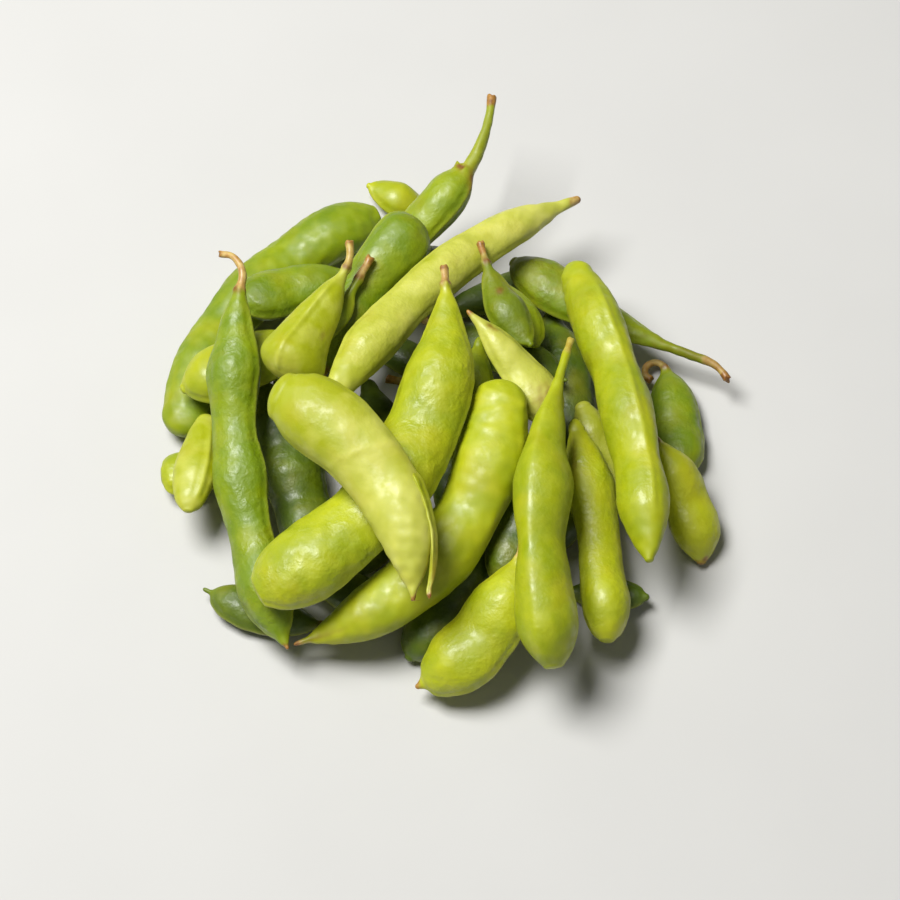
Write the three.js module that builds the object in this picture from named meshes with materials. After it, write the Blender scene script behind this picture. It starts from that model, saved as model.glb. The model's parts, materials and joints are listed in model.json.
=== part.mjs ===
// A bundle of cooked green soybean pods, lying loose in a low heap on a flat surface.
// Millimetres, +Z up, and the heap is seen from -Y and above.
// Each pod is one grown piece: its stalk, its shell swollen over the beans, and its beak.

import * as THREE from 'three';

// ---- Driving dimensions ------------------------------------------------------------------

const SIDES = 10;            // facets round a pod; corners 0 and SIDES / 2 lie on its two seams
const PLUMP = 0.82;          // a pod's thickness over a bean, as a share of its width
const STALK_RADIUS = 0.85;
const STALK_STEP = 2;        // how far apart its rings are, and how far it turns between two
const STALK_TURN = 0.6;
const MOST_STALK_RINGS = 6;
const BEAK_RADIUS = 0.65;
const RIDGED_SEAM = 1.07;    // the seam that carries the beans stands out as a ridge
const FLAT_SEAM = 1.04;
const WAIST_THINNING = 0.3;  // how much thinner the shell is between two beans
const FIRST_BEAN = 0.24;     // where the beans start and end, as shares of the shell's length
const LAST_BEAN = 0.84;

const CLEARANCE = 0.2;       // air kept round each pod while it is laid on the others
const PRESS = 0.3;           // how far a soft shell flattens where it lies on the surface
const CELL = 0.25;           // grid spacing of the heap's height map
const REACH = 80;            // half the side of that map

// How the shell closes at either end: how long it tapers, and how blunt it is (0.5 is a dome).
const STALK_ENDS = {
  drawn: { taper: 34, power: 1.6 },
  tapered: { taper: 29, power: 1 },
  neck: { taper: 24, power: 0.75 },
  shoulder: { taper: 15, power: 0.8 },
  rounded: { taper: 14, power: 0.5 },
  blunt: { taper: 8, power: 0.5 },
};
const BEAK_ENDS = {
  drawn: { taper: 25, power: 0.8, beak: 2 },
  split: { taper: 25, power: 0.8, beak: 1 },
  tapered: { taper: 15, power: 0.9, beak: 0.7 },
  pointed: { taper: 10, power: 0.6, beak: 1.6 },
  round: { taper: 8, power: 0.5, beak: 0.7 },
  blunt: { taper: 5, power: 0.4, beak: 0.4 },
};

const TONES = {
  pale: { color: '#c3cc5c', roughness: 0.42 },
  bright: { color: '#a9ba30', roughness: 0.38 },
  green: { color: '#86a31c', roughness: 0.4 },
  deep: { color: '#66831a', roughness: 0.45 },
};

// What a pod has unless its own line says otherwise. Bow is how far the shell curves off its
// chord, towards its ridged seam. Waist is how much narrower it is between two beans. Heading,
// tilt and roll turn it on the heap, in degrees.
const PLAIN_POD = {
  beans: 2, firstBean: FIRST_BEAN, bow: 0, tilt: 0, roll: 0, plump: PLUMP, tone: 'green',
  waist: 0.1, stalkEnd: 'shoulder', beakEnd: 'pointed',
  stalk: 4, stalkLean: 0, stalkBend: 0, stalkRadius: STALK_RADIUS,
};

// The pods in the order in which they are laid, each on those before it.
const PODS = [
  // on the surface, mostly hidden
  { name: 'base_pod_centre', length: 42, width: 11, bow: 3, at: [-13.5, 0], heading: -92, stalk: 5,
    tone: 'deep' },
  { name: 'base_pod_back', length: 46, width: 11.5, bow: 4, at: [-18, 37], heading: 40, tone: 'deep' },
  { name: 'base_pod_right', length: 54, width: 11.5, bow: 4, at: [22, 9], heading: -93, tone: 'deep' },
  { name: 'base_pod_middle', length: 30, width: 9.5, at: [1.5, -5], heading: -85, tone: 'deep' },
  { name: 'base_pod_inner', length: 20, width: 8, at: [-10, 24], heading: -35, tone: 'deep' },
  { name: 'base_pod_back_right', length: 22, width: 9, at: [9, 41], heading: 20, tone: 'deep' },
  { name: 'base_pod_front', beans: 1, length: 18, width: 9, at: [-19, -25], heading: -20, tone: 'deep' },
  { name: 'low_pod_front_left', length: 22, width: 9, bow: 1, at: [-34, -28], heading: 163, tilt: 3,
    tone: 'deep' },
  { name: 'low_pod_front_right', beans: 1, length: 16, width: 8.5, at: [28.5, -24], heading: -8, tilt: 8,
    tone: 'deep' },
  { name: 'low_pod_front', length: 26, width: 11, at: [0, -27], heading: -127, tilt: -14, tone: 'deep' },
  { name: 'right_edge_back_pod', length: 26, width: 10.5, bow: 1, at: [43, 12], heading: -87, tilt: 3,
    stalk: 7.5, stalkBend: 210 },
  { name: 'right_edge_front_pod', length: 25, width: 10.5, plump: 0.9, bow: 2, at: [44, -6],
    heading: -67, tilt: -26, roll: -20, tone: 'bright' },
  { name: 'left_edge_low_pod', beans: 1, length: 14, width: 11, at: [-47.5, 1], heading: -171, tilt: 12,
    beakEnd: 'blunt', tone: 'bright' },
  { name: 'back_edge_pod', beans: 1, length: 15, width: 9, at: [-9.5, 63.5], heading: 156, tilt: 8,
    beakEnd: 'pointed', tone: 'bright' },
  { name: 'right_long_stalk_pod', length: 43, width: 10, bow: 2, at: [29.5, 32.5], heading: 150, tilt: 3,
    stalkEnd: 'drawn', stalk: 5.5, stalkBend: -40, stalkRadius: 1.3 },

  // the second layer, in the gaps between the pods on top
  { name: 'inner_pod_front', length: 23, width: 9.5, at: [12, -16], heading: -105, tilt: -14,
    tone: 'deep' },
  { name: 'inner_pod_left', beans: 3, length: 39, width: 11.5, at: [-30, 1], heading: -72, tilt: -7,
    tone: 'deep' },
  { name: 'inner_pod_back', length: 28, width: 9.5, at: [9.5, 24.5], heading: -34, tilt: 13,
    tone: 'deep' },
  { name: 'inner_pod_centre', length: 26, width: 8.5, plump: 0.9, at: [4, 12], heading: -97, tilt: -10 },
  { name: 'inner_pod_small', beans: 1, length: 18, width: 8, at: [-6, 9.5], heading: -71, tilt: -11,
    stalk: 3, stalkLean: 60 },
  { name: 'left_edge_curved_pod', beans: 3, length: 66, width: 11.5, plump: 0.86, bow: 9,
    at: [-39.5, 39], heading: 54, stalkEnd: 'blunt', beakEnd: 'round', stalk: 1 },
  { name: 'left_edge_front_pod', beans: 1, length: 23, width: 8.5, at: [-47, -0.5], heading: -96,
    tilt: 9, stalkEnd: 'rounded', beakEnd: 'round', stalk: 1, tone: 'pale' },
  { name: 'left_back_pod', length: 25, width: 11, at: [-30, 37.5], heading: -157, tilt: 10 },
  { name: 'left_cross_pod', length: 26, width: 12.5, at: [-38.5, 19.5], heading: -157, tilt: -5,
    stalk: 2, tone: 'bright' },
  { name: 'back_long_stalk_pod', length: 32, width: 9.6, plump: 0.9, at: [-7, 47], heading: -134,
    tilt: -21, roll: 20, stalkEnd: 'rounded', stalk: 15.5, stalkLean: 5, stalkBend: 25,
    stalkRadius: 1.15 },
  { name: 'back_round_end_pod', length: 35, width: 11, plump: 0.86, bow: 1.5, at: [-16, 31], heading: 58,
    tilt: 12, roll: 25, beakEnd: 'blunt' },
  { name: 'left_slim_pod', beans: 1, length: 15, width: 6.5, at: [-20.5, 24], heading: -118, tilt: -10,
    stalkEnd: 'neck', stalk: 4.5 },
  { name: 'back_long_pod', beans: 3, length: 71, width: 8.7, bow: 5.5, at: [-3.5, 32], heading: 48,
    tilt: -7, roll: 15, stalkEnd: 'tapered', beakEnd: 'drawn', tone: 'pale' },
  { name: 'small_inner_pod', beans: 1, length: 16, width: 8.5, at: [13, 29.5], heading: -65, tilt: -2,
    beakEnd: 'round', stalk: 1 },
  { name: 'small_pointed_pod', beans: 1, length: 20, width: 7.8, bow: -1, at: [10, 26], heading: -65,
    tilt: -2, tone: 'deep' },
  { name: 'right_inner_pod', length: 23, width: 8.5, at: [28.5, 1.5], heading: -69, tilt: -17,
    stalkEnd: 'rounded', stalk: 0.8, tone: 'pale' },

  // the pods on top
  { name: 'front_short_pod', length: 30, width: 13, plump: 0.78, bow: 3.5, at: [6.5, -35.5],
    heading: -131, tilt: -23, beakEnd: 'pointed', tone: 'bright' },
  { name: 'right_slim_pod', firstBean: 0.3, length: 44, width: 9.3, plump: 0.95, waist: 0.12, bow: 1.5,
    at: [27, -15], heading: -83, tilt: -8, roll: -25, stalkEnd: 'shoulder', beakEnd: 'round', stalk: 0.8,
    tone: 'bright' },
  { name: 'centre_pointed_pod', length: 27, width: 10.5, bow: 1, at: [12, 13.5], heading: -50, tilt: -20,
    stalkEnd: 'tapered', stalk: 0.8, tone: 'pale' },
  { name: 'right_long_pod', beans: 3, length: 68, width: 10.6, plump: 0.9, bow: 3.5, at: [32, 8],
    heading: -79, tilt: 3, roll: 40, stalkEnd: 'rounded', beakEnd: 'tapered', stalk: 1.5, tone: 'bright' },
  { name: 'left_long_pod', beans: 3, length: 69, width: 10, plump: 0.95, waist: 0.2, bow: -5,
    at: [-39, -4], heading: -82, tilt: -15, roll: 25, stalkEnd: 'neck', stalk: 9, stalkLean: -25,
    stalkBend: 110 },
  { name: 'left_pointed_pod', length: 25, width: 14.5, plump: 0.78, at: [-25, 19.5], heading: -118,
    tilt: -8, roll: -20, stalkEnd: 'tapered', beakEnd: 'blunt', stalk: 5, stalkBend: 35, tone: 'pale' },
  { name: 'front_curved_pod', beans: 3, length: 65, width: 13, bow: 11, at: [0, -20], heading: -128,
    tilt: -16, stalkEnd: 'blunt', beakEnd: 'drawn', stalk: 1, tone: 'bright' },
  { name: 'centre_long_pod', beans: 3, length: 74, width: 14.5, plump: 0.79, bow: 11.5, at: [-8, -7.5],
    heading: -120, tilt: -10, stalkEnd: 'tapered', beakEnd: 'round', stalk: 2.5, tone: 'bright' },
  { name: 'front_long_pod', beans: 2, firstBean: 0.45, length: 63, width: 12, plump: 0.95, waist: 0.14,
    bow: -5.5, at: [16.5, -15.5], heading: -93, tilt: -8, roll: -50, stalkEnd: 'drawn', beakEnd: 'round',
    stalk: 2.5, tone: 'bright' },
  { name: 'top_curved_pod', length: 49, width: 13.5, plump: 0.78, bow: 6.5, at: [-13.5, -13.5],
    heading: -54, tilt: -9, roll: 20, stalkEnd: 'blunt', beakEnd: 'split', stalk: 0.8, tone: 'pale' },
];

// ---- A pod's shape -----------------------------------------------------------------------

// Where each bean lies along the shell, as shares of its length.
function beanStations({ beans, firstBean }) {
  if (beans === 1) {
    return [(firstBean + LAST_BEAN) / 2];
  }
  const gap = (LAST_BEAN - firstBean) / (beans - 1);
  return Array.from({ length: beans }, (_, i) => firstBean + i * gap);
}

// Where the rings of the shell lie: close together at the ends, and one on each bean, on each
// waist and between the two.
function ringStations(pod) {
  const beans = beanStations(pod);
  const edge = 0.012;
  const steps = 6 - beans.length;
  const stations = [];
  for (let i = 0; i < steps; i++) {
    stations.push(edge + (beans[0] - edge) * (i / steps) ** 1.25);
  }
  for (let k = 1; k < beans.length; k++) {
    for (let i = 0; i < 4; i++) {
      stations.push(beans[k - 1] + (beans[k] - beans[k - 1]) * i / 4);
    }
  }
  const last = beans.at(-1);
  for (let i = 0; i <= steps; i++) {
    stations.push(last + (1 - edge - last) * (1 - (1 - i / steps) ** 1.5));
  }
  return stations;
}

// 0 at the very end of the shell, rising to 1 where the taper ends.
function taper(distance, { taper: length, power }) {
  const u = Math.min(distance / length, 1);
  return (1 - (1 - u) ** 2) ** power;
}

// Half the shell's width and half its thickness at share s of its length.
function halfSizes(pod, s) {
  const beans = beanStations(pod);
  const reach = beans.length === 1 ? 0.3 : (beans[1] - beans[0]) / 2;
  const nearest = Math.min(...beans.map((bean) => Math.abs(s - bean)));
  const hollow = 1 - Math.cos(Math.min(nearest / reach, 1) * Math.PI / 2) ** 2;
  const ends = taper(s * pod.length, STALK_ENDS[pod.stalkEnd])
    * taper((1 - s) * pod.length, BEAK_ENDS[pod.beakEnd]);
  const half = pod.width / 2 * ends;
  return [half * (1 - pod.waist * hollow), half * pod.plump * (1 - WAIST_THINNING * hollow)];
}

// The shell's centre line: a parabola whose chord lies along X and which bows towards +Y. Its
// middle is the pod's own origin.
function centreLine({ length, bow }, s) {
  const chord = length * (1 - 8 / 3 * (bow / length) ** 2);
  const q = 2 * s - 1;
  return new THREE.Vector3(chord / 2 * q, -bow * q ** 2, 0);
}

function direction(pod, s) {
  const step = 0.01;
  return centreLine(pod, s + step).sub(centreLine(pod, s - step)).normalize();
}

// An oval ring square to the centre line, its corner 0 on the ridged seam.
function oval(centre, along, halfWidth, halfThickness) {
  const up = new THREE.Vector3(0, 0, 1);
  const across = new THREE.Vector3().crossVectors(up, along).normalize();
  return Array.from({ length: SIDES }, (_, i) => {
    const angle = 2 * Math.PI * i / SIDES;
    const seam = i === 0 ? RIDGED_SEAM : (i === SIDES / 2 ? FLAT_SEAM : 1);
    return centre.clone()
      .addScaledVector(across, halfWidth * seam * Math.cos(angle))
      .addScaledVector(up, halfThickness * Math.sin(angle));
  });
}

// The stalk leaves the shell's first end, leaning off its line, and bends evenly. Its rings run
// from its tip inwards.
function stalkRings(pod, grow) {
  const [lean, bend] = [pod.stalkLean, pod.stalkBend].map(THREE.MathUtils.degToRad);
  const steps = [2, pod.stalk / STALK_STEP, Math.abs(bend) / STALK_TURN].map(Math.round);
  const count = Math.min(Math.max(...steps), MOST_STALK_RINGS);
  const turn = bend / count;
  const up = new THREE.Vector3(0, 0, 1);
  const outward = direction(pod, 0).negate().applyAxisAngle(up, lean);
  const point = centreLine(pod, 0);
  const rings = [];
  for (let i = 1; i <= count; i++) {
    outward.applyAxisAngle(up, turn);
    point.addScaledVector(outward, pod.stalk / count);
    const radius = pod.stalkRadius * (i === count ? 1 : 0.85) + grow;
    rings.unshift(oval(point, outward.clone().negate(), radius, radius));
  }
  const tip = point.clone().addScaledVector(outward, 0.4);
  return { tip, rings };
}

// The shell and beak, from the stalk to the beak's tip.
function shellRings(pod, grow) {
  const rings = ringStations(pod).map((s) => {
    const least = s < 0.5 ? pod.stalkRadius : BEAK_RADIUS;
    const [halfWidth, halfThickness] = halfSizes(pod, s).map((size) => Math.max(size, least) + grow);
    return oval(centreLine(pod, s), direction(pod, s), halfWidth, halfThickness);
  });
  const along = direction(pod, 1);
  const { beak } = BEAK_ENDS[pod.beakEnd];
  const neck = centreLine(pod, 1).addScaledVector(along, beak * 0.6);
  rings.push(oval(neck, along, BEAK_RADIUS * 0.6 + grow, BEAK_RADIUS * 0.6 + grow));
  return { tip: centreLine(pod, 1).addScaledVector(along, beak), rings };
}

// A closed skin over all the rings, with one point at each end.
function podGeometry(pod, grow = 0) {
  const stalk = stalkRings(pod, grow);
  const shell = shellRings(pod, grow);
  const rings = [...stalk.rings, ...shell.rings];
  const points = [stalk.tip, ...rings.flat(), shell.tip];
  const corner = (ring, side) => 1 + ring * SIDES + side % SIDES;
  const faces = [];
  for (let side = 0; side < SIDES; side++) {
    faces.push(0, corner(0, side + 1), corner(0, side));
    for (let ring = 0; ring < rings.length - 1; ring++) {
      faces.push(corner(ring, side), corner(ring, side + 1), corner(ring + 1, side + 1));
      faces.push(corner(ring, side), corner(ring + 1, side + 1), corner(ring + 1, side));
    }
    faces.push(points.length - 1, corner(rings.length - 1, side), corner(rings.length - 1, side + 1));
  }
  const geometry = new THREE.BufferGeometry().setFromPoints(points);
  geometry.setIndex(faces);
  geometry.computeVertexNormals();
  return geometry;
}

// ---- The heap ----------------------------------------------------------------------------

// The heap's upper surface, as one height for each column of a square grid.
class Heap {
  constructor() {
    this.columns = Math.round(2 * REACH / CELL);
    this.heights = new Float32Array(this.columns ** 2).fill(-PRESS - CLEARANCE);
  }

  // Calls visit(column, height) for each column under the faces that look up or down.
  scan(mesh, looksUp, visit) {
    const { position } = mesh.geometry.attributes;
    const { array } = mesh.geometry.index;
    const corners = [0, 1, 2].map(() => new THREE.Vector3());
    mesh.updateMatrixWorld();
    for (let face = 0; face < array.length; face += 3) {
      corners.forEach((corner, i) => {
        corner.fromBufferAttribute(position, array[face + i]).applyMatrix4(mesh.matrixWorld);
      });
      this.scanFace(corners, looksUp, visit);
    }
  }

  scanFace([a, b, c], looksUp, visit) {
    const area = (b.x - a.x) * (c.y - a.y) - (b.y - a.y) * (c.x - a.x);
    if (area === 0 || (area > 0) !== looksUp) {
      return;
    }
    const first = (...values) => Math.ceil((Math.min(...values) + REACH) / CELL - 0.5);
    const last = (...values) => Math.floor((Math.max(...values) + REACH) / CELL - 0.5);
    const [left, right] = [first(a.x, b.x, c.x), last(a.x, b.x, c.x)];
    for (let row = first(a.y, b.y, c.y); row <= last(a.y, b.y, c.y); row++) {
      const y = (row + 0.5) * CELL - REACH;
      for (let column = left; column <= right; column++) {
        const x = (column + 0.5) * CELL - REACH;
        const u = ((b.x - x) * (c.y - y) - (b.y - y) * (c.x - x)) / area;
        const v = ((c.x - x) * (a.y - y) - (c.y - y) * (a.x - x)) / area;
        if (u >= 0 && v >= 0 && u + v <= 1) {
          visit(row * this.columns + column, u * a.z + v * b.z + (1 - u - v) * c.z);
        }
      }
    }
  }

  // How far the mesh has to rise, or sink, to rest on the heap.
  restingHeight(mesh) {
    let rise = -Infinity;
    this.scan(mesh, false, (column, height) => {
      rise = Math.max(rise, this.heights[column] - height);
    });
    return rise;
  }

  add(mesh) {
    this.scan(mesh, true, (column, height) => {
      this.heights[column] = Math.max(this.heights[column], height);
    });
  }
}

// Lowers one pod straight down on to the heap, with its clearance round it.
function layPod(pod, heap) {
  const { color, roughness } = TONES[pod.tone];
  const material = new THREE.MeshStandardMaterial({ color, roughness, metalness: 0 });
  const mesh = new THREE.Mesh(podGeometry(pod, CLEARANCE), material);
  const [heading, tilt, roll] = [pod.heading, pod.tilt, pod.roll].map(THREE.MathUtils.degToRad);
  mesh.name = pod.name;
  mesh.rotation.set(roll, -tilt, heading, 'ZYX');
  mesh.position.set(...pod.at, 0);
  mesh.position.z = heap.restingHeight(mesh);
  heap.add(mesh);
  mesh.geometry = podGeometry(pod);
  return mesh;
}

// Flattens the shell where it would sink below the surface.
function pressFlat(mesh) {
  const { position } = mesh.geometry.attributes;
  const point = new THREE.Vector3();
  mesh.updateMatrixWorld();
  for (let i = 0; i < position.count; i++) {
    mesh.localToWorld(point.fromBufferAttribute(position, i));
    point.z = Math.max(point.z, 0);
    mesh.worldToLocal(point);
    position.setXYZ(i, point.x, point.y, point.z);
  }
}

function buildBundle() {
  const heap = new Heap();
  const bundle = new THREE.Group();
  bundle.add(...PODS.map((pod) => layPod({ ...PLAIN_POD, ...pod }, heap)));
  bundle.children.forEach(pressFlat);
  const middle = new THREE.Box3().setFromObject(bundle, true).getCenter(new THREE.Vector3());
  bundle.children.forEach((mesh) => mesh.position.sub(middle.clone().setZ(0)));
  return bundle;
}

export default buildBundle();
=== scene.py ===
"""A bundle of boiled green soybean pods, lying loose in a low heap.

Each solid pod gives its centre line, its width and its thickness. A finer skin is worked out
from them: seams, swellings over the beans, a dimpled surface, dried stalk and beak.
"""
import json
import math

import bpy
import numpy as np
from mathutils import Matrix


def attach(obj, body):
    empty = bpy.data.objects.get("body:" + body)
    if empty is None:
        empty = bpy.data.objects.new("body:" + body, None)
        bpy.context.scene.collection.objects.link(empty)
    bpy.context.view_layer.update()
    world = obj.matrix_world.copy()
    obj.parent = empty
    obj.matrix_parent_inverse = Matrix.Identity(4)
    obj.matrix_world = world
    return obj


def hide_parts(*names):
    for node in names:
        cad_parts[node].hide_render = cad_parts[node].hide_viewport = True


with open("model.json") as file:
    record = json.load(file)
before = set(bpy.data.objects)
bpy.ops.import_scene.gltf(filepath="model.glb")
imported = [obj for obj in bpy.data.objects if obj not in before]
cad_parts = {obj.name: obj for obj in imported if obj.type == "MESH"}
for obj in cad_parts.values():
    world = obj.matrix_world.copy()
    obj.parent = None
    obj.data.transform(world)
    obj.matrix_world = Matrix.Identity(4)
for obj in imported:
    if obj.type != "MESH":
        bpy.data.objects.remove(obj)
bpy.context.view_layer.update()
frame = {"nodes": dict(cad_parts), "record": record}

MM = 0.001
TURN = 2 * math.pi

# ---- The solid pods ----------------------------------------------------------------------

SLOTS = {part["node"]: part["material_slot"] for part in frame["record"]["subparts"]}

SIDES = 10              # corners in each ring of a solid pod
RIDGED_SEAM = 1.07      # how far its ridged seam stands out, as a share of its half-width
FLAT_SEAM = 1.04        # the same on the other side
TOP_CORNER = math.sin(TURN / 5)  # how high its highest corner is, as a share of its half-thickness
STALK_RINGS = 3         # the fewest rings that a stalk has
SHELL_RING = 1.05       # a ring this many times as wide as the stalk belongs to the shell

# ---- The finer skin ----------------------------------------------------------------------

FINE = {"along": 0.36 * MM, "around": 88}    # distance between rows, and points in a row
COARSE = {"along": 0.8 * MM, "around": 40}
FEWEST_ROWS = 12
END_CROWDING = 0.6      # how much closer the rows lie at a pod's two ends

# Forms. The shell begins where a pod is SHELL_START times as wide as its stalk, and is full where
# it is wider than that by SHELL_FULL of its greatest half-width.
SHELL_START = 1.1
SHELL_FULL = 0.35
CREST_ROUNDING = 0.12   # how far either side of a seam its crest is rounded off, in radians
CREST_WAIST = 0.25      # how far the sides are drawn in for a crest that is drawn out by 1
SWAY_POWER = 1.6        # a stalk's sway grows with this power of the way to its end

CORD_HEIGHT = 0.16 * MM  # the raised line where the two halves of a pod meet
CORD_WIDTH = 0.42 * MM
GROOVE_DEPTH = 0.1 * MM  # the shallow groove on either side of it
GROOVE_PLACE = 1.05 * MM
GROOVE_WIDTH = 0.5 * MM

LUMP_LENGTH, LUMP_HEIGHT = 10 * MM, 0.2 * MM
DIMPLE_LENGTH, DIMPLE_HEIGHT = 3.4 * MM, 0.07 * MM
PEBBLE_LENGTH, PEBBLE_HEIGHT = 1.3 * MM, 0.02 * MM
STALK_WRINKLE_LENGTH, STALK_WRINKLE_HEIGHT = 2.4 * MM, 0.07 * MM
CREASE_WIDTH, CREASE_HEIGHT = 0.7 * MM, 0.1 * MM
SMOOTH_TIP = 0.8 * MM   # how far from a tip the relief has grown to its full height

COLLAR_WIDTH, COLLAR_HEIGHT = 0.7 * MM, 0.22 * MM
COLLAR_LOBES = 5        # as many as the flower had sepals
LOBE_SHARE = 0.3        # how much of the collar's height is in its lobes
SEPAL_WIDTH, SEPAL_HEIGHT = 0.8 * MM, 1.3 * MM
SEPAL_SECTOR = 0.4      # half of how far it reaches round the joint, in radians

TEAR_LENGTH, TEAR_HEIGHT = 1.1 * MM, 0.4 * MM   # how unevenly the stalk was torn off
TEAR_REACH = 1.2 * MM

SPLIT = 0.6             # where a split seam starts to open, as a share of the length
SPLIT_GAPE = 1.6 * MM   # how far either side bends away by the end
LIP_START = 0.95        # where the lip starts, as a share of the way to the split
LIP_ROWS = 30           # how many places along it are measured
LIP_INSET = 0.5 * MM
LIP_WIDTH = 0.75 * MM
LIP_DEPTH = 2.2 * MM
LIP_FULLNESS = 0.8      # the share of the pod's half-thickness that it takes
LIP_TAPER = 0.45        # how much thinner it is at its end
LIP_ROUNDING = (8, 6)   # how soon it is full after its start, and round before its end

# Shades. A dried part has a ragged edge, and turns to the next shade within the distance given.
RAGGED_LENGTH, RAGGED_HEIGHT = 1.8 * MM, 0.5 * MM
BROWN_EDGE = 1.2 * MM
STRAW_EDGE = 2 * MM
STAIN_LENGTH = 2.4 * MM     # patches of brown on the collar
STAIN_SHARE, STAIN_STRENGTH = 0.6, 0.85
FLECK_LENGTH, FLECK_RAGGEDNESS = 1.5 * MM, 0.35     # the notches in a fleck's edge
PAINTED_SHADE_REACH = 0.4             # how far the painted shade at the stalk's end reaches, as a share of the length
RIPER_NECK = 0.25           # how much yellower the thin ends are than the shell
PAINTED_FOLD_HIGHLIGHT = 0.2            # how much lighter the creases are painted than what lies round them: a painted highlight along each fold
RIPENESS_LENGTH, RIPENESS_SPREAD = 14 * MM, 0.12
ROUGHNESS_LENGTH = 6 * MM   # areas of a shell that are rougher and smoother than the rest
ROUGHNESS_MEAN, ROUGHNESS_SPREAD = 0.8, 0.4

# Each random field of a pod has its own seed: the pod's seed and the number given here.
SEEDS_PER_POD = 100
(LUMPS, DIMPLES, PEBBLES, STALK_WRINKLES, RAGGED_EDGES,
 STAINS, FLECKS, RIPENESS, TEARS, ROUGHNESS) = range(10)

PLAIN_LOOK = {
    "keel": 0.05,        # how sharply the shell comes to a crest at its seams
    "cord": 1,           # how far the seams' cords stand out
    "seam_turn": 0,      # how far the seams lie from the shell's widest line, in degrees
    "creases": (),       # folds across the shell: share of the length, slant in mm
    "pebbly": 0.9,       # how much the beans and veins roughen the surface
    "ripe_and_painted_light": 0.3,         # 0 is leaf green, 1 is yellow
    "painted_shade_end": 0,      # painted shade: how much greener and darker the stalk's end is painted
    "stalk": True,       # whether the stalk shows; without it the shell ends in a dome
    "girths": ((0, 1),),  # share of the length, thickness there against the solid pod's
    "sway": 0,           # how far the stalk's end stands to the pod's left of the solid one, mm
    "stem": 1,           # how far the stalk has turned from green to straw
    "brown_stem": 0.3,   # how much of the stalk has dried brown, in mm from its end
    "collar": 1,         # how much of the flower's collar is left where the stalk joins
    "sepal": None,       # where round the joint a sepal still stands up, in degrees
    "beak": True,        # whether the beak shows
    "straw_tip": 0,      # how much of the beak has turned to straw, in mm
    "brown_tip": 0,      # how much of it has dried brown, in mm
    "marks": (),         # brown flecks, and on one pod a broad patch of painted shade: share of the length, degrees round, length, width, strength
    "lip": False,        # whether the beak's end has split along its ridged seam
    "grid": FINE,
}

NO_STALK = {"stalk": False, "stem": 0, "brown_stem": 0, "collar": 0}
HIDDEN = {**NO_STALK, "grid": COARSE, "ripe_and_painted_light": 0.1}
ROUND = {"beak": False}

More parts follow.
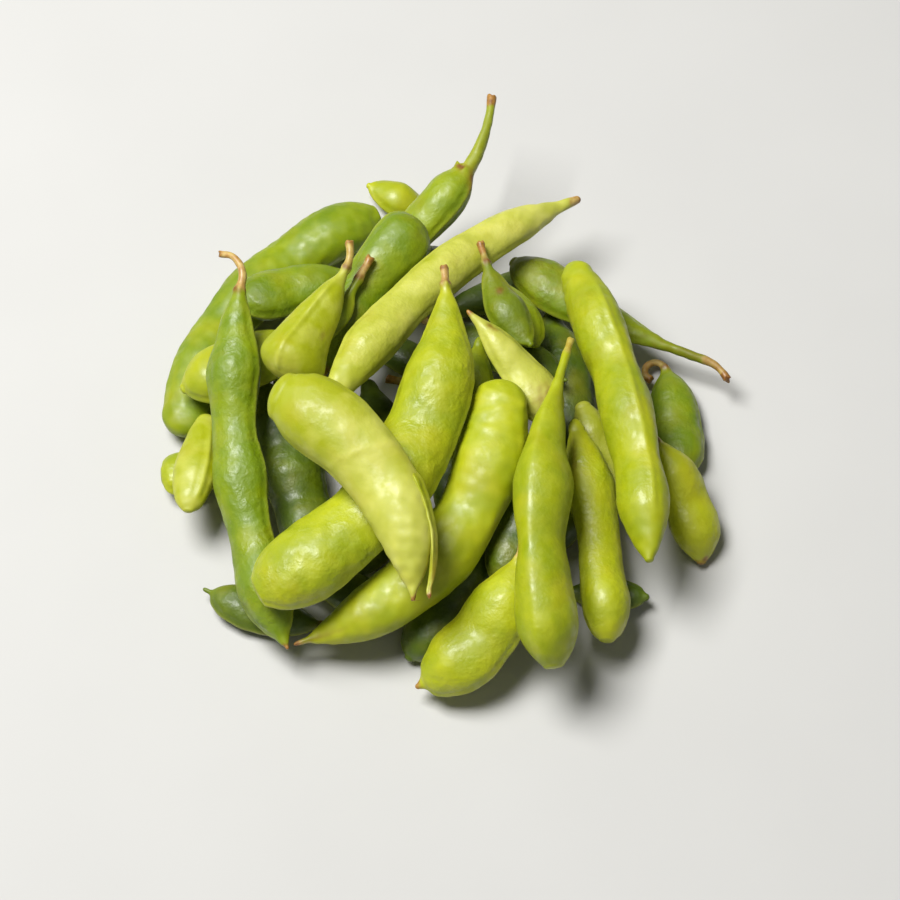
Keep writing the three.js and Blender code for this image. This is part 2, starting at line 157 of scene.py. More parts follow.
LOOKS = {
    "base_pod_centre": HIDDEN,
    "base_pod_back": HIDDEN,
    "base_pod_right": HIDDEN,
    "base_pod_middle": HIDDEN,
    "base_pod_inner": HIDDEN,
    "base_pod_back_right": HIDDEN,
    "base_pod_front": HIDDEN,
    "low_pod_front": {**ROUND, "ripe_and_painted_light": 0.2},
    "low_pod_front_right": ROUND,
    "inner_pod_small": {"brown_stem": 1.5},
    "inner_pod_centre": {**NO_STALK, "ripe_and_painted_light": 0.9},
    "left_slim_pod": {"brown_stem": 1.2},
    "back_long_stalk_pod": {"girths": ((0.1, 0.85), (0.3, 1.5), (0.5, 1)), "sway": -2.7,
                            "stem": 0.15, "brown_stem": 1.6, "ripe_and_painted_light": 0.5, "collar": 1.2,
                            "sepal": 150, "marks": ((0.35, 0, 1.6, 1.4, 0.8),)},
    # painted shade at its stalk's end, which lies in the shadow of its neighbours
    "back_long_pod": {**NO_STALK, "straw_tip": 2.6, "brown_tip": 0.2, "ripe_and_painted_light": 0.6, "painted_shade_end": 0.4,
                      "girths": ((0.03, 2.4), (0.1, 1.8), (0.18, 1.35), (0.3, 1.1), (0.4, 1),
                                 (0.93, 1), (0.98, 1.9))},
    "back_round_end_pod": {**ROUND, "ripe_and_painted_light": 0.15},
    "back_edge_pod": {**NO_STALK, **ROUND, "ripe_and_painted_light": 0.6, "pebbly": 0.4},
    # painted shade: its low ripeness darkens the whole pod, and its first mark is a broad brown patch of
    # painted shade towards the beak
    "right_long_stalk_pod": {**ROUND, "girths": ((0, 0.6), (0.14, 0.7), (0.3, 0.75), (0.5, 1)),
                             "stem": 0.9, "brown_stem": 1, "ripe_and_painted_light": 0.1, "collar": 0,
                             "marks": ((0.93, 80, 9, 8, 0.25), (0.12, 90, 12, 3, 0.4))},
    "right_edge_back_pod": {"ripe_and_painted_light": 0.1},
    "right_edge_front_pod": {**ROUND, "ripe_and_painted_light": 0.9, "brown_tip": 0.2},
    "right_long_pod": {**NO_STALK, **ROUND, "keel": 0.11, "seam_turn": 35, "ripe_and_painted_light": 0.3,
                       "girths": ((0.9, 1), (1, 1.3))},
    "right_inner_pod": {**NO_STALK, **ROUND, "ripe_and_painted_light": 0.3},
    "right_slim_pod": {**NO_STALK, **ROUND, "ripe_and_painted_light": 0.6, "marks": ((0.2, 150, 4, 0.6, 0.35),)},
    "small_inner_pod": {**NO_STALK, **ROUND, "ripe_and_painted_light": 0.7},
    "small_pointed_pod": {**ROUND, "ripe_and_painted_light": 1, "stem": 0.6, "brown_stem": 2.2,
                          "girths": ((0, 1), (0.1, 0.75), (0.2, 1)),
                          "marks": ((0.5, 90, 0.8, 0.8, 0.7),)},
    "left_long_pod": {"keel": 0.1, "ripe_and_painted_light": 0.15, "pebbly": 1.2, "brown_tip": 0.4,
                      "girths": ((0, 0.75), (0.1, 1.1), (0.17, 1.35), (0.26, 1.15), (0.4, 1))},
    "left_edge_curved_pod": {**NO_STALK, **ROUND, "ripe_and_painted_light": 0.1},
    "left_edge_front_pod": {**NO_STALK, **ROUND, "ripe_and_painted_light": 0.1, "pebbly": 0.5, "keel": 0.12,
                            "seam_turn": 60},
    "left_edge_low_pod": {**ROUND, "ripe_and_painted_light": 0.4},
    "left_back_pod": {**ROUND, "ripe_and_painted_light": 0.1},
    "left_pointed_pod": {**ROUND, "keel": 0.16, "seam_turn": -62, "stem": 0.8, "pebbly": 0.5,
                         "ripe_and_painted_light": 0.1, "marks": ((0.66, 60, 0.8, 0.6, 0.4),)},
    "left_cross_pod": {**ROUND, "ripe_and_painted_light": 0.35, "pebbly": 0.4},
    "centre_pointed_pod": {**NO_STALK, "keel": 0.1, "ripe_and_painted_light": 0.65, "pebbly": 0.6,
                           "girths": ((0.03, 0.5), (0.1, 1)), "brown_stem": 0.6,
                           "marks": ((0.19, 60, 1, 0.7, 0.8), (0.8, 80, 3.5, 3, 0.6))},
    "centre_long_pod": {**ROUND, "brown_stem": 0.4, "collar": 1.3, "ripe_and_painted_light": 0.4, "pebbly": 1.1},
    "front_long_pod": {**ROUND, "keel": 0.13, "seam_turn": -19, "cord": 0.1, "stem": 0.6,
                       "brown_stem": 0, "ripe_and_painted_light": 0.3, "collar": 0, "pebbly": 0.5,
                       "girths": ((0, 0.8), (0.1, 1))},
    "front_curved_pod": {**NO_STALK, "ripe_and_painted_light": 0.3, "straw_tip": 2, "brown_tip": 0.6, "pebbly": 1.2,
                         "creases": ((0.05, 2), (0.1, -1.5), (0.16, 1.2)),
                         "marks": ((0.93, 70, 4, 0.5, 0.4),)},
    "front_short_pod": {"ripe_and_painted_light": 0.55, "brown_tip": 0.3, "girths": ((0.88, 1), (0.95, 1.3))},
    # painted shade at its stalk's end, which lies in the shadow of the pod beside it
    "top_curved_pod": {**NO_STALK, "keel": 0.09, "straw_tip": 1, "brown_tip": 0.3, "lip": True,
                       "pebbly": 0.6, "ripe_and_painted_light": 0.4, "painted_shade_end": 1.3, "creases": ((0.42, 2.5),),
                       "marks": ((0.85, 5, 6, 0.5, 0.5),)},
}


def merged(node):
    """The corners of a solid pod without repeats, and its triangles as rows of three."""
    mesh = frame["nodes"][node].data
    points = np.empty(len(mesh.vertices) * 3, np.float32)
    mesh.vertices.foreach_get("co", points)
    corners = np.empty(len(mesh.loops), np.int32)
    mesh.loops.foreach_get("vertex_index", corners)
    points, same = np.unique(points.reshape(-1, 3), axis=0, return_inverse=True)
    return points.astype(float), same.reshape(-1)[corners].reshape(-1, 3)


def rings_of(node):
    """The rings of a solid pod, in order from the tip of its stalk to the tip of its beak.

    Each tip is a corner where SIDES edges meet, and a ring is what lies as many edges from it.
    """
    points, faces = merged(node)
    joined = np.zeros((len(points), len(points)), bool)
    for i, j in ((0, 1), (1, 2), (2, 0)):
        joined[faces[:, i], faces[:, j]] = True
        joined[faces[:, j], faces[:, i]] = True
    level = np.full(len(points), -1)
    level[np.flatnonzero(joined.sum(0) == SIDES)[0]] = 0
    while (level < 0).any():
        level[joined[level == level.max()].any(0) & (level < 0)] = level.max() + 1
    rings = [points[level == k] for k in range(level.max() + 1)]
    spread = [np.ptp(ring, axis=0).sum() for ring in rings]
    return rings if spread[1] > spread[-2] else rings[::-1]


def unit(vectors):
    """The same directions with the length 1."""
    return vectors / np.linalg.norm(vectors, axis=-1, keepdims=True)


def run_length(points):
    """How far each point lies along the line through all of them."""
    steps = np.linalg.norm(np.diff(points, axis=0), axis=-1)
    return np.concatenate([np.zeros_like(steps[:1]), np.cumsum(steps, axis=0)])


def through(stations, values, at):
    """A smooth curve through the values: cubic pieces whose slopes follow their neighbours."""
    slopes = np.gradient(values, stations, axis=0)
    at = np.clip(at, stations[0], stations[-1])
    k = np.clip(np.searchsorted(stations, at) - 1, 0, len(stations) - 2)
    gap = stations[k + 1] - stations[k]
    t = (at - stations[k]) / gap
    shape = (-1,) + (1,) * (values.ndim - 1)
    gap, t = gap.reshape(shape), t.reshape(shape)
    start = (1 + 2 * t) * (1 - t) ** 2 * values[k] + t * (1 - t) ** 2 * gap * slopes[k]
    end = t * t * (3 - 2 * t) * values[k + 1] - t * t * (1 - t) * gap * slopes[k + 1]
    return start + end


def rise(x):
    """0 below 0 and 1 above 1, with a smooth step between."""
    x = np.clip(x, 0, 1)
    return x * x * (3 - 2 * x)


def bell(x):
    """1 at 0, falling to nothing beyond 2 on either side."""
    return np.exp(-x * x)


def dome(x):
    """The height of a round end: 0 at its tip, and 1 from where x reaches 1."""
    return np.sqrt(1 - (1 - np.clip(x, 0, 1)) ** 2)


def waves(points, length, seed, count=28):
    """A smooth random field from about -1 to 1: a sum of plane waves of one length.

    Their directions and phases come from the seed.
    """
    draw = np.random.default_rng(seed)
    ways = unit(draw.normal(size=(count, 3))).T * (TURN / length)
    phases = draw.uniform(0, TURN, count)
    return np.cos(points @ ways + phases).sum(-1) / math.sqrt(2 * count)


def trimmed(rings, look):
    """The rings without the stalk or the beak that doesn't show, and the ring at the joint.

    The rings of a stalk are all a little thinner than the shell's first.
    """
    centres = [ring.mean(0, keepdims=True) for ring in rings]
    spreads = np.array([np.linalg.norm(ring - c, axis=1).mean() for ring, c in zip(rings, centres)])
    stalk_spread = spreads[STALK_RINGS - 1]
    joint = STALK_RINGS + np.argmax(spreads[STALK_RINGS:] > SHELL_RING * stalk_spread)
    if not look["beak"]:
        rings = rings[:-2] + [(centres[-3] + centres[-2]) / 2]
    if not look["stalk"]:
        rings = [(centres[joint - 1] + centres[joint]) / 2] + rings[joint + 1:]
        joint = 1
    return rings, joint


class Shape:
    """A solid pod's measures: its centre line, half-width and half-thickness at its rings."""

    def __init__(self, node, look):
        rings, joint = trimmed(rings_of(node), look)
        self.centres = np.array([ring.mean(0) for ring in rings])
        self.stations = run_length(self.centres)
        self.length = self.stations[-1]
        self.gape = SPLIT_GAPE * look["lip"]
        along = np.gradient(self.centres, self.stations, axis=0)
        self.up = self.flat_side(rings, along)
        across = unit(np.cross(self.up, along))
        spans = [[np.ptp((ring - c) @ side), np.ptp((ring - c) @ self.up)]
                 for ring, c, side in zip(rings[1:-1], self.centres[1:-1], across[1:-1])]
        self.halves = np.array(spans) / [RIDGED_SEAM + FLAT_SEAM, 2 * TOP_CORNER]
        shares = self.stations[1:-1] / self.length
        self.halves *= np.interp(shares, *zip(*look["girths"]))[:, None]
        to_end = 1 - np.clip(self.stations / self.stations[joint + 1], 0, 1)
        self.centres += look["sway"] * MM * to_end[:, None] ** SWAY_POWER * across[joint]
        self.joint = self.stations[joint]
        self.stalk_radius = self.halves[joint - 1, 0]

    def flat_side(self, rings, along):
        """The direction of a pod's thickness, square to the long axis of its widest ring.

        Seen against it, the seam that stands out further lies left of the way to the beak.
        """
        widest = 1 + np.argmax([np.ptp(ring, axis=0).sum() for ring in rings[1:-1]])
        ring = rings[widest] - self.centres[widest]
        up = np.linalg.svd(ring)[2][1]
        reach = ring @ np.cross(up, along[widest])
        return -up if reach.max() < -reach.min() else up

    def at(self, s):
        """Centre, direction, sideways direction and the two half-sizes at the distances s."""
        centre = through(self.stations, self.centres, s)
        along = unit(np.gradient(centre, s, axis=0))
        sideways = unit(np.cross(self.up, along))
        half = through(self.stations[1:-1], self.halves, s)
        caps = (self.stations[1], self.length - self.stations[-2])
        for distance, cap in zip((s, self.length - s), caps):
            half *= dome(distance / cap)[:, None]
        return centre - sideways * self.opened(s)[:, None], along, sideways, half

    def opened(self, s):
        """How far a split pod has bent away from its axis at the distances s."""
        return self.gape * np.clip((s / self.length - SPLIT) / (1 - SPLIT), 0, 1) ** 2


class Lip(Shape):
    """A strip along a pod's ridged seam that has come away from the rest towards the beak.

    Its centre line runs beside the pod's own, at the pod's half-width less LIP_INSET, and bends
    outwards by as much as the rest bends inwards.
    """

    def __init__(self, pod):
        self.pod = pod
        self.up = pod.up
        self.start = LIP_START * SPLIT * pod.length
        self.length = pod.length - self.start
        self.joint, self.stalk_radius = -self.length, 0
        self.centres, _, _, self.halves = self.at(np.linspace(0, self.length, LIP_ROWS))

    def at(self, s):
        """As for a whole pod, with the distances s counted from where the lip starts."""
        centre, along, sideways, half = self.pod.at(s + self.start)
        share = s / self.length
        out = half[:, 0] - LIP_INSET + 2 * self.pod.opened(s + self.start)
        ends = dome(LIP_ROUNDING[0] * share) * dome(LIP_ROUNDING[1] * (1 - share))
        thin = (1 - LIP_TAPER * share) * ends
        depth = np.minimum(LIP_FULLNESS * half[:, 1], LIP_DEPTH)
        half = np.stack([LIP_WIDTH * thin, depth * thin], axis=1)
        return centre + sideways * out[:, None], along, sideways, half


def rows_along(length, step):
    """Distances from one tip to the other, closer together towards the tips."""
    count = max(int(length / step), FEWEST_ROWS)
    t = np.arange(1, count) / count
    return length * (t - END_CROWDING * np.sin(TURN * t) / TURN)


def skin_normals(points):
    """Outward normals of a grid whose rows go round a pod and whose columns run along it."""
    along = np.gradient(points, axis=0)
    around = np.roll(points, -1, axis=1) - np.roll(points, 1, axis=1)
    normal = np.cross(around, along)
    return normal / np.maximum(np.linalg.norm(normal, axis=-1, keepdims=True), 1e-12)


def from_seams(points):
    """How far each point of a grid lies from the nearer seam, measured round the skin.

    One seam runs along the grid's first column and the other along its middle one.
    """
    girth = np.linalg.norm(np.roll(points, -1, axis=1) - points, axis=-1)
    reach = np.cumsum(girth, axis=1) - girth
    total = girth.sum(1, keepdims=True)
    middle = reach[:, points.shape[1] // 2, None]
    return np.minimum(np.minimum(reach, total - reach), np.abs(reach - middle))


class Skin:
    """A pod's skin as a grid of points, with the values that its material reads.

    A row of the grid goes round the pod, and a column runs along it from stalk to beak. A point
    is centre + sideways * half-width * cos(turned) + up * half-thickness * sin(turned), drawn out
    to a crest by keel * (1 - |sin(turn from the seam)|)^2 whose edge is rounded off. It is then
    moved along the normal by the relief, and lifted to the ground where it is below it.
    """

    def __init__(self, shape, look, seed):
        self.shape, self.look, self.seed = shape, look, seed
        self.s = rows_along(shape.length, look["grid"]["along"])
        self.centre, self.along, self.sideways, self.half = shape.at(self.s)
        self.turn = TURN * np.arange(look["grid"]["around"]) / look["grid"]["around"]
        self.turned = self.turn + math.radians(look["seam_turn"])
        widest = shape.halves[:, 0].max()
        past_stalk = self.half[:, :1] - shape.stalk_radius * SHELL_START
        self.shell = rise(past_stalk / (SHELL_FULL * widest))
        self.from_joint = (self.s - shape.joint)[:, None]
        self.collar = look["collar"] * bell(self.from_joint / COLLAR_WIDTH)
        self.fold = self.folds()

        self.points = self.drawn_out()
        self.seam_distance = from_seams(self.points)
        self.cord = bell(self.seam_distance / CORD_WIDTH) * self.shell
        self.points = self.points + skin_normals(self.points) * self.relief()[..., None]
        if look["stalk"]:
            torn = self.field(TEAR_HEIGHT, TEAR_LENGTH, TEARS) * (1 - rise(self.s / TEAR_REACH))[:, None]
            self.points += self.along[:, None] * torn[..., None]
        self.points[..., 2] = np.maximum(self.points[..., 2], 0)
        self.tips = shape.centres[[0, -1]]
        self.tips[:, 2] = np.maximum(self.tips[:, 2], 0)
        self.values = self.shades()

    def field(self, height, length, number):
        """A random field over the skin as it is so far, of the height and wave length given."""
        return height * waves(self.points, length, self.seed + number)

    def sector(self, degrees):
        """The angle from each column to the direction given, round the pod."""
        return np.angle(np.exp(1j * (self.turned - math.radians(degrees))))

    def folds(self):
        """Creases across the upper side: a bell over the distance from each slanting line."""
        fold = 0
        for share, slant in self.look["creases"]:
            off = self.s[:, None] - share * self.shape.length - slant * MM * np.cos(self.turned)
            fold = fold + bell(off / CREASE_WIDTH) * rise(2 * np.sin(self.turned))
        return fold

    def drawn_out(self):
        """The ovals of the pod, drawn out to a crest at either seam."""
        from_crest = np.hypot(np.sin(self.turn), CREST_ROUNDING)
        crest = 1 + self.look["keel"] * self.shell * ((1 - from_crest) ** 2 - CREST_WAIST)
        width = self.half[:, :1] * np.cos(self.turned) * crest
        height = self.half[:, 1:] * np.sin(self.turned) * crest
        return (self.centre[:, None] + self.sideways[:, None] * width[..., None]
                + self.shape.up * height[..., None])

    def relief(self):
        """How far each point moves along the normal.

        The sum of the seams' cords and grooves, lumps, dimples, pebbles, creases, the collar, the
        stalk's wrinkles and a sepal that stands up. It dies away towards both tips.
        """
        look, shell = self.look, self.shell
        groove = bell((self.seam_distance - GROOVE_PLACE) / GROOVE_WIDTH) * shell
        relief = look["cord"] * (CORD_HEIGHT * self.cord - GROOVE_DEPTH * groove)
        relief += self.field(LUMP_HEIGHT, LUMP_LENGTH, LUMPS) * shell
        relief += self.field(look["pebbly"] * DIMPLE_HEIGHT, DIMPLE_LENGTH, DIMPLES) * shell
        relief += self.field(look["pebbly"] * PEBBLE_HEIGHT, PEBBLE_LENGTH, PEBBLES) * shell
        relief += CREASE_HEIGHT * self.fold
        lobes = 1 - LOBE_SHARE + LOBE_SHARE * np.cos(COLLAR_LOBES * self.turn)
        relief += COLLAR_HEIGHT * self.collar * lobes
        relief += self.field(STALK_WRINKLE_HEIGHT * (1 - shell), STALK_WRINKLE_LENGTH, STALK_WRINKLES)
        if look["sepal"] is not None:
            standing = SEPAL_HEIGHT * bell(self.from_joint / SEPAL_WIDTH)
            relief += standing * bell(self.sector(look["sepal"]) / SEPAL_SECTOR)
        to_tip = np.minimum(self.s, self.shape.length - self.s)
        return relief * rise(to_tip / SMOOTH_TIP)[:, None]

    def shades(self):
        """What the material reads at each point, as shares from 0 to 1."""
        look, shell, length = self.look, self.shell, self.shape.length
        ragged = self.field(RAGGED_HEIGHT, RAGGED_LENGTH, RAGGED_EDGES)
        to_ends = np.stack([self.s, length - self.s])[..., None] + ragged
        browned = np.array([look["brown_stem"], look["brown_tip"]])[:, None, None] * MM
        brown = (1 - rise((to_ends - browned) / BROWN_EDGE)) * (browned > 0)
        stem = look["stem"] * (1 - rise((self.from_joint + ragged) / STRAW_EDGE + 0.5))
        straw_tip = look["straw_tip"] * MM
        if straw_tip:
            stem = np.maximum(stem, 1 - rise((to_ends[1] - straw_tip) / STRAW_EDGE + 0.5))
        # painted shade: the stalk's end is painted greener and darker, fading out along the pod
        painted_shade = look["painted_shade_end"] * (1 - rise(self.s / (PAINTED_SHADE_REACH * length)))
        return {
            "stem": stem,
            "brown": brown.max(0),
            "marks": self.flecks_and_shade_patches(),
            "seam": look["cord"] * self.cord,
            # ripeness, with painted light in it: painted shade at the stalk's end and a painted
            # highlight along the creases
            "ripe_and_painted_light": look["ripe_and_painted_light"] + RIPER_NECK * (1 - shell)
            + self.field(RIPENESS_SPREAD, RIPENESS_LENGTH, RIPENESS)
            # painted highlight: the creases are painted lighter than what lies round them
            + PAINTED_FOLD_HIGHLIGHT * self.fold - painted_shade[:, None],
            "pebbly": look["pebbly"] * (ROUGHNESS_MEAN + self.field(
                ROUGHNESS_SPREAD, ROUGHNESS_LENGTH, ROUGHNESS)) * shell,
        }

    def flecks_and_shade_patches(self):
        """Brown stains on the collar, and flecks, one of them a broad patch of painted shade: a bell
        over each oval, with a ragged edge.
        """
        stained = rise(STAIN_SHARE + self.field(1, STAIN_LENGTH, STAINS))
        marks = STAIN_STRENGTH * self.collar * stained
        for share, degrees, long, wide, strength in self.look["marks"]:
            off = np.hypot((self.s[:, None] - share * self.shape.length) / (long * MM),
                           self.sector(degrees) * self.half[:, :1] / (wide * MM))
            off = off + self.field(FLECK_RAGGEDNESS, FLECK_LENGTH, FLECKS)
            marks = np.maximum(marks, strength * bell(off))
        return marks


def shell_faces(rows, columns):
    """Corner numbers of a grid's faces: quads between its rows, and triangles to its two tips."""
    i, j = np.mgrid[0:rows - 1, 0:columns]
    after = (j + 1) % columns
    quads = np.stack([i * columns + j, i * columns + after,
                      (i + 1) * columns + after, (i + 1) * columns + j], axis=-1).reshape(-1, 4)
    j = np.arange(columns)
    after = (j + 1) % columns
    tip = np.full(columns, rows * columns)
    foot = (rows - 1) * columns
    triangles = np.concatenate([np.stack([tip, after, j], axis=-1),
                                np.stack([tip + 1, foot + j, foot + after], axis=-1)])
    return quads, triangles


def smooth_mesh(name, spots, quads, triangles):
    """A smooth-shaded mesh, and the corner numbers of its faces in order."""
    corners = np.concatenate([quads.ravel(), triangles.ravel()])
    sizes = np.concatenate([np.full(len(quads), 4), np.full(len(triangles), 3)])
    mesh = bpy.data.meshes.new(name)
    mesh.vertices.add(len(spots))
    mesh.vertices.foreach_set("co", spots.ravel())
    mesh.loops.add(len(corners))
    mesh.loops.foreach_set("vertex_index", corners.astype(np.int32))
    mesh.polygons.add(len(sizes))
    mesh.polygons.foreach_set("loop_start", (np.cumsum(sizes) - sizes).astype(np.int32))
    mesh.update(calc_edges=True)
    mesh.polygons.foreach_set("use_smooth", np.ones(len(sizes), bool))
    return mesh, corners


def closed_skin(name, skins):
    """A mesh object from grids that each close round the pod and end in a point at either tip.

    Its UV map is the distance along the pod and the share of the way round it.
    """
    quads, triangles, corners_before = [], [], 0
    spots, distances, columns_round = [], [], []
    values = {label: [] for label in skins[0].values}
    for skin in skins:
        rows, columns = skin.points.shape[:2]
        four, three = shell_faces(rows, columns)
        quads.append(four + corners_before)
        triangles.append(three + corners_before)
        corners_before += rows * columns + 2
        spots += [skin.points.reshape(-1, 3), skin.tips]
        distances += [np.repeat(skin.s, columns), [0, skin.s[-1]]]
        columns_round += [np.tile(np.arange(columns) / columns, rows), [0.5, 0.5]]
        for label, value in skin.values.items():
            flat = np.broadcast_to(value, (rows, columns))
            values[label] += [flat.ravel(), [flat[0].mean(), flat[-1].mean()]]
    quads, triangles = np.concatenate(quads), np.concatenate(triangles)
    mesh, corners = smooth_mesh(name, np.concatenate(spots), quads, triangles)

    around = np.concatenate(columns_round)[corners]
    far_side = np.concatenate([np.tile([False, True, True, False], len(quads)),
                               np.tile([False, False, True], len(triangles))])
    around[far_side & (around == 0)] = 1
    uv = np.stack([np.concatenate(distances)[corners], around], axis=-1)
    mesh.uv_layers.new(name="along_and_round").data.foreach_set("uv", uv.astype(np.float32).ravel())
    for label, value in values.items():
        attribute = mesh.attributes.new(label, "FLOAT", "POINT")
        attribute.data.foreach_set("value", np.concatenate(value).astype(np.float32))
    piece = bpy.data.objects.new(name, mesh)
    bpy.context.scene.collection.objects.link(piece)
    return piece


# ---- Materials ---------------------------------------------------------------------------


def linear(hex_colour):
    """An sRGB hex colour as linear red, green, blue and alpha."""
    parts = [int(hex_colour[i:i + 2], 16) / 255 for i in (1, 3, 5)]
    return (*[c / 12.92 if c <= 0.04045 else ((c + 0.055) / 1.055) ** 2.4 for c in parts], 1)


def add(tree, kind, inputs=None, **settings):
    """Adds a node with its settings, and a value or a link for each input named."""
    node = tree.nodes.new("ShaderNode" + kind)
    for name, value in settings.items():
        setattr(node, name, value)
    for name, value in (inputs or {}).items():
        if isinstance(value, bpy.types.NodeSocket):
            tree.links.new(value, node.inputs[name])
        else:
            node.inputs[name].default_value = value
    return node


def new_material(name):
    """A node material with its Principled shader, and the tree they are in."""
    material = bpy.data.materials.new(name)
    material.use_nodes = True
    tree = material.node_tree
    tree.nodes.clear()
    shader = add(tree, "BsdfPrincipled")
    add(tree, "OutputMaterial", {"Surface": shader.outputs["BSDF"]})
    return material, tree, shader


# Where the sockets of a colour Mix node are: its share, the colours under and over, and the result.
SHARE, UNDER, OVER, RESULT = 0, 6, 7, 2

TONES = {
    "pod_skin_pale": {"leaf": "#a2aa04", "light": "#d0d060"},
    "pod_skin_bright": {"leaf": "#909f00", "light": "#b9be14"},
    "pod_skin_green": {"leaf": "#718a00", "light": "#9eac04"},
    "pod_skin_deep": {"leaf": "#465c00", "light": "#6f8000"},
}
WARM_PATCH = "#bca416"
SEAM_LINE = "#c2c648"
STRAW = ("#ceb368", "#b28540")
DRIED_BROWN = ("#b38338", "#84561c")
# the brown of the flecks, also used for one broad patch of painted shade
FLECK_AND_PAINTED_SHADE_BROWN = "#7a4212"
SEAM_STRENGTH = 0.35

# Patterns in the skin: the size of a patch, the finer detail in it, and from and to which values
# it is spread.
SKIN_PATTERNS = {
    "clouds": (5 * MM, 2, (0.35, 0.65), (-0.25, 0.25)),   # where the skin ripened unevenly
    "warm": (7 * MM, 2, (0.5, 0.7), (0, 0.16)),           # where it has begun to turn yellow
    "grain": (1.2 * MM, 4, (0.35, 0.65), (0, 1)),         # fibres of a dried stalk
    "film": (2 * MM, 3, (0.4, 0.62), (0, 1)),             # where a film of water is left
}
DRY_ROUGHNESS, WET_ROUGHNESS = 0.6, 0.42
FILM_EDGE = 0.2         # how much of the film it takes before it shines
FILM_WEIGHT = 0.2
FILM_ROUGHNESS = 0.32
PORE_SIZE, PORE_DEPTH = 1 * MM, 0.22 * MM
FINE_DETAIL = 3


def boiled_pod_skin(slot):
    """Boiled soybean pod: a thin waxy plant skin, cooked in water and drained.

    The eye gets a saturated yellow-green with cloudy lighter patches, a soft sheen broken up by
    the pebbly surface, and straw to brown where stalk and beak have dried.
    """
    material, tree, shader = new_material("boiled_" + slot)
    place = add(tree, "TexCoord").outputs["Object"]
    value = {name: add(tree, "Attribute", attribute_name=name).outputs["Fac"]
             for name in ("stem", "brown", "marks", "seam", "ripe_and_painted_light", "pebbly")}
    for name, (size, detail, (low, high), (least, most)) in SKIN_PATTERNS.items():
        noise = add(tree, "TexNoise", {"Vector": place, "Scale": 1 / size, "Detail": detail})
        value[name] = add(tree, "MapRange", {
            "Value": noise.outputs["Fac"], "From Min": low, "From Max": high,
            "To Min": least, "To Max": most}).outputs["Result"]

    # ripeness, which also carries painted shade at the stalk's end and a painted highlight along the
    # creases
    ripeness_and_painted_light = add(tree, "Math", {0: value["ripe_and_painted_light"], 1: value["clouds"]},
                   operation="ADD", use_clamp=True)
    seam = add(tree, "MapRange", {"Value": value["seam"], "To Max": SEAM_STRENGTH})
    straw, brown = (add(tree, "Mix", {SHARE: value["grain"], UNDER: linear(pale), OVER: linear(dark)},
                        data_type="RGBA").outputs[RESULT] for pale, dark in (STRAW, DRIED_BROWN))
    colour = linear(TONES[slot]["leaf"])
    for share, over in ((ripeness_and_painted_light.outputs["Value"], linear(TONES[slot]["light"])),
                        (value["warm"], linear(WARM_PATCH)),
                        (seam.outputs["Result"], linear(SEAM_LINE)),
                        (value["stem"], straw),
                        (value["brown"], brown),
                        (value["marks"], linear(FLECK_AND_PAINTED_SHADE_BROWN))):
        colour = add(tree, "Mix", {SHARE: share, UNDER: colour, OVER: over},
                     data_type="RGBA").outputs[RESULT]
    tree.links.new(colour, shader.inputs["Base Color"])

    roughness = add(tree, "MapRange", {
        "Value": value["film"], "To Min": DRY_ROUGHNESS, "To Max": WET_ROUGHNESS})
    tree.links.new(roughness.outputs["Result"], shader.inputs["Roughness"])
    coat = add(tree, "MapRange", {
        "Value": value["film"], "From Min": FILM_EDGE, "To Max": FILM_WEIGHT})
    tree.links.new(coat.outputs["Result"], shader.inputs["Coat Weight"])
    shader.inputs["Coat Roughness"].default_value = FILM_ROUGHNESS
    pores = add(tree, "TexNoise", {"Vector": place, "Scale": 1 / PORE_SIZE, "Detail": FINE_DETAIL})
    bump = add(tree, "Bump", {"Height": pores.outputs["Fac"], "Strength": value["pebbly"],
                              "Distance": PORE_DEPTH})
    tree.links.new(bump.outputs["Normal"], shader.inputs["Normal"])
    shader.inputs["IOR"].default_value = 1.45               # plant wax
    shader.inputs["Specular IOR Level"].default_value = 0.75
    shader.inputs["Subsurface Weight"].default_value = 0.12  # thin enough to let some light in,
    shader.inputs["Subsurface Radius"].default_value = (1.0, 0.9, 0.15)  # which comes out yellow
    shader.inputs["Subsurface Scale"].default_value = 1.2 * MM
    return material


PAPER_WHITES = ("#c9c8c4", "#cfceca")
PAPER_CLOUD_SIZE = 40 * MM


def matt_paper():
    """White paper sweep: matt, with no gloss, so that it gives a plain pale ground."""
    material, tree, shader = new_material("matt_paper")
    place = add(tree, "TexCoord").outputs["Object"]
    fibre = add(tree, "TexNoise", {"Vector": place, "Scale": 1 / PAPER_CLOUD_SIZE,
                                   "Detail": FINE_DETAIL})
    darker, lighter = map(linear, PAPER_WHITES)
    shade = add(tree, "Mix", {SHARE: fibre.outputs["Fac"], UNDER: darker, OVER: lighter},
                data_type="RGBA")
    tree.links.new(shade.outputs[RESULT], shader.inputs["Base Color"])
    shader.inputs["Roughness"].default_value = 0.9
    shader.inputs["Specular IOR Level"].default_value = 0.2
    return material


# ---- The scene ---------------------------------------------------------------------------


FLOOR_HALF = 3.0        # metres, far beyond what the camera sees

AIM = (0.51 * MM, -12.71 * MM, 14 * MM)
CAMERA_DISTANCE = 555 * MM
CAMERA_RISE = 60.5      # degrees above the ground
LENS = 120              # mm
NEAREST = 0.01          # metres

# Lamps: name, azimuth and elevation in degrees, distance and size in metres, watts.
LAMPS = (("window", 165, 68, 0.85, 0.4, 10.5),
         ("fill", -60, 50, 1.0, 0.8, 0.4))
SKY, SKY_STRENGTH = "#f4f6f8", 0.07


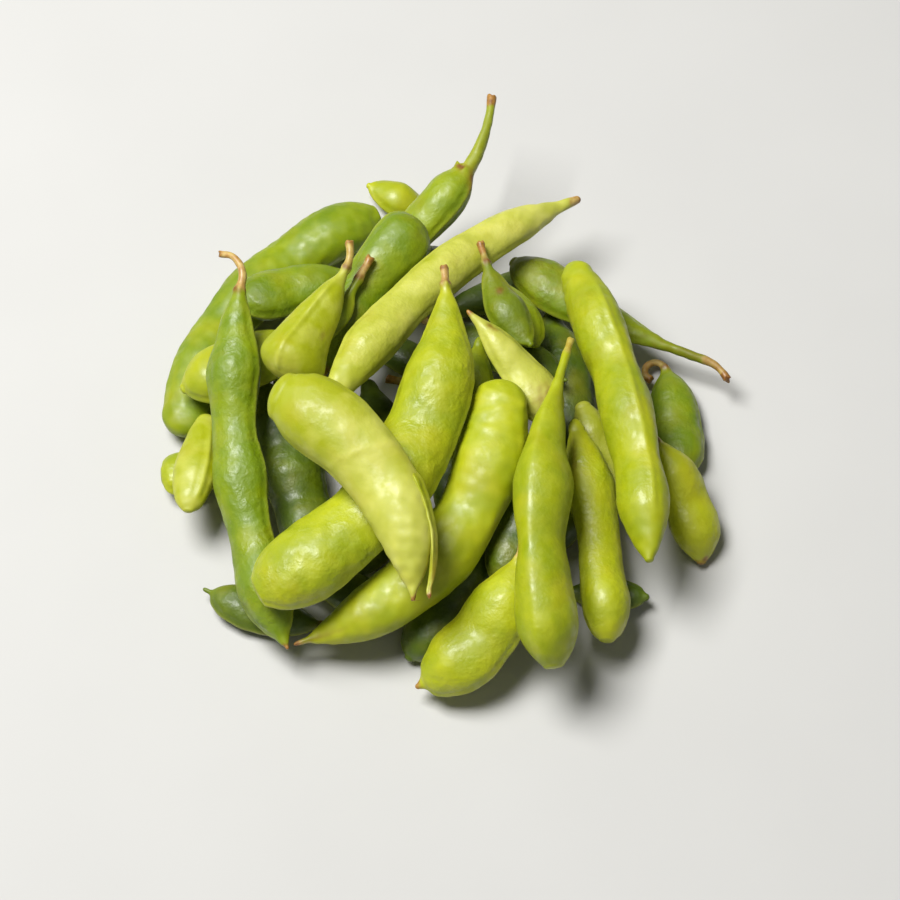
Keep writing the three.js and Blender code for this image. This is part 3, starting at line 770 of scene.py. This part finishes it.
def add_pods():
    """One skin for each solid pod, in the place of it."""
    skins = {slot: boiled_pod_skin(slot) for slot in TONES}
    for number, node in enumerate(sorted(frame["nodes"])):
        look = {**PLAIN_LOOK, **LOOKS.get(node, {})}
        shapes = [Shape(node, look)]
        if look["lip"]:
            shapes.append(Lip(shapes[0]))
        grids = [Skin(shape, look, SEEDS_PER_POD * number) for shape in shapes]
        piece = closed_skin(node + "_skin", grids)
        piece.data.materials.append(skins[SLOTS[node]])
        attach(piece, "root")
        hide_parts(node)


def add_floor():
    """A square of paper that the heap lies on."""
    mesh = bpy.data.meshes.new("floor")
    corners = [(-1, -1), (1, -1), (1, 1), (-1, 1)]
    mesh.from_pydata([(FLOOR_HALF * x, FLOOR_HALF * y, 0) for x, y in corners], [], [(0, 1, 2, 3)])
    floor = bpy.data.objects.new("floor", mesh)
    floor.data.materials.append(matt_paper())
    bpy.context.scene.collection.objects.link(floor)


def add_camera():
    """A long lens that looks down at the heap from its front."""
    tilt = math.radians(CAMERA_RISE)
    data = bpy.data.cameras.new("camera")
    data.lens = LENS
    data.clip_start = NEAREST
    camera = bpy.data.objects.new("camera", data)
    camera.location = (AIM[0], AIM[1] - CAMERA_DISTANCE * math.cos(tilt),
                       AIM[2] + CAMERA_DISTANCE * math.sin(tilt))
    camera.rotation_euler = (math.pi / 2 - tilt, 0, 0)
    bpy.context.scene.collection.objects.link(camera)
    bpy.context.scene.camera = camera


def add_lamp(name, azimuth, elevation, distance, size, watts):
    """A square soft light that looks at the heap; azimuth 0 is at +X and 90 at +Y."""
    data = bpy.data.lights.new(name, "AREA")
    data.size = size
    data.energy = watts
    lamp = bpy.data.objects.new(name, data)
    round_z, up = math.radians(azimuth), math.radians(elevation)
    lamp.location = (distance * math.cos(round_z) * math.cos(up),
                     distance * math.sin(round_z) * math.cos(up),
                     distance * math.sin(up))
    lamp.rotation_euler = (math.pi / 2 - up, 0, round_z + math.pi / 2)
    bpy.context.scene.collection.objects.link(lamp)


def add_light():
    """A window to the left of the heap and high up, a weak fill and a faint even sky."""
    for lamp in LAMPS:
        add_lamp(*lamp)
    world = bpy.data.worlds.new("studio")
    world.use_nodes = True
    background = world.node_tree.nodes["Background"]
    background.inputs["Color"].default_value = linear(SKY)
    background.inputs["Strength"].default_value = SKY_STRENGTH
    bpy.context.scene.world = world
    bpy.context.scene.view_settings.view_transform = "Standard"


add_pods()
add_floor()
add_camera()
add_light()
